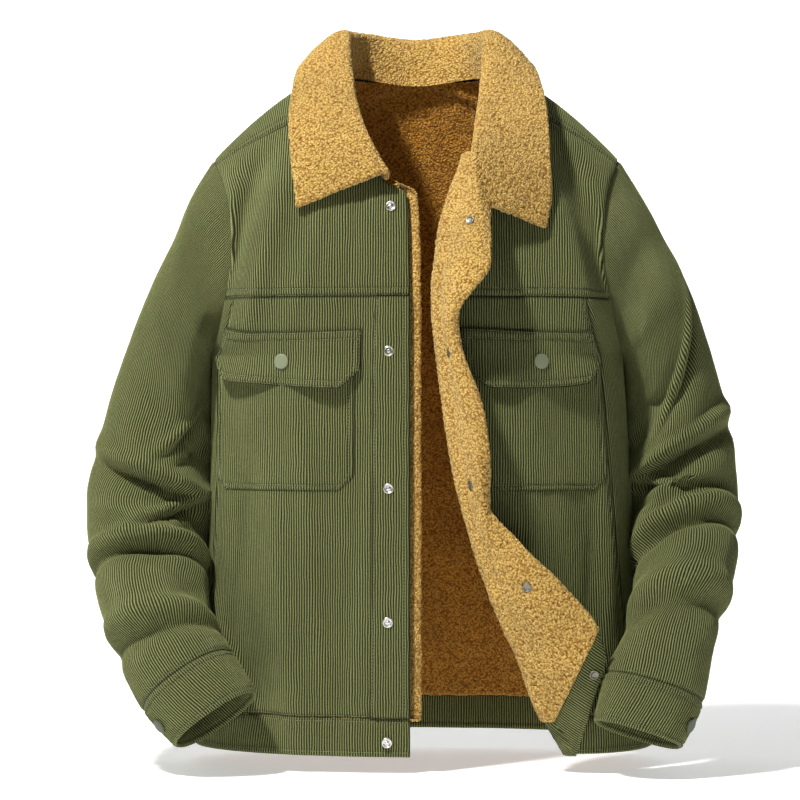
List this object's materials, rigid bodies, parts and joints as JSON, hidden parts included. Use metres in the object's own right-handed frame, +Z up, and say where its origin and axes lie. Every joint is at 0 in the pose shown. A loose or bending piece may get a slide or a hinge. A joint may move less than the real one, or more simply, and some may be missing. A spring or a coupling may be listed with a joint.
{
  "type": "sherpa lined jacket",
  "caption": "Waist-length corduroy jacket lined and collared in curly pile, worn shape with no wearer, snap front held open and one front folded back.",
  "frame": {"origin": "middle of the neck opening, where the wearer's neck holds the jacket", "axes": "+X to the wearer's left, -Y to the front, +Z up"},
  "size_m": [0.694, 0.317, 0.7651],
  "materials": {
    "corduroy": "olive green fine-wale corduroy, matt with a soft nap",
    "pile": "golden curly pile",
    "silver_snap": "silver ring snaps",
    "painted_cap": "matt sage green paint"
  },
  "bodies": {
    "root": {"right_front": "corduroy", "right_front_yoke": "corduroy", "right_side_panel": "corduroy", "right_hem_band": "corduroy", "left_front": "corduroy", "left_front_yoke": "corduroy", "left_side_panel": "corduroy", "left_hem_band": "corduroy", "back": "corduroy", "back_yoke": "corduroy", "back_hem_band": "corduroy", "right_sleeve": "corduroy", "right_cuff": "corduroy", "left_sleeve": "corduroy", "left_cuff": "corduroy", "right_pocket": "corduroy", "right_pocket_flap": "corduroy", "left_pocket": "corduroy", "left_pocket_flap": "corduroy", "placket": "corduroy", "right_front_lining": "pile", "left_front_lining": "pile", "back_lining": "pile", "collar": "pile", "neck_stud": "silver_snap", "neck_socket": "silver_snap", "neck_cap": "painted_cap", "chest_stud": "silver_snap", "chest_socket": "silver_snap", "chest_cap": "painted_cap", "middle_stud": "silver_snap", "middle_socket": "silver_snap", "middle_cap": "painted_cap", "lower_stud": "silver_snap", "lower_socket": "silver_snap", "lower_cap": "painted_cap", "hem_stud": "silver_snap", "hem_socket": "silver_snap", "hem_cap": "painted_cap", "right_pocket_cap": "painted_cap", "left_pocket_cap": "painted_cap", "right_cuff_cap": "painted_cap", "left_cuff_cap": "painted_cap"}
  },
  "joints": []
}
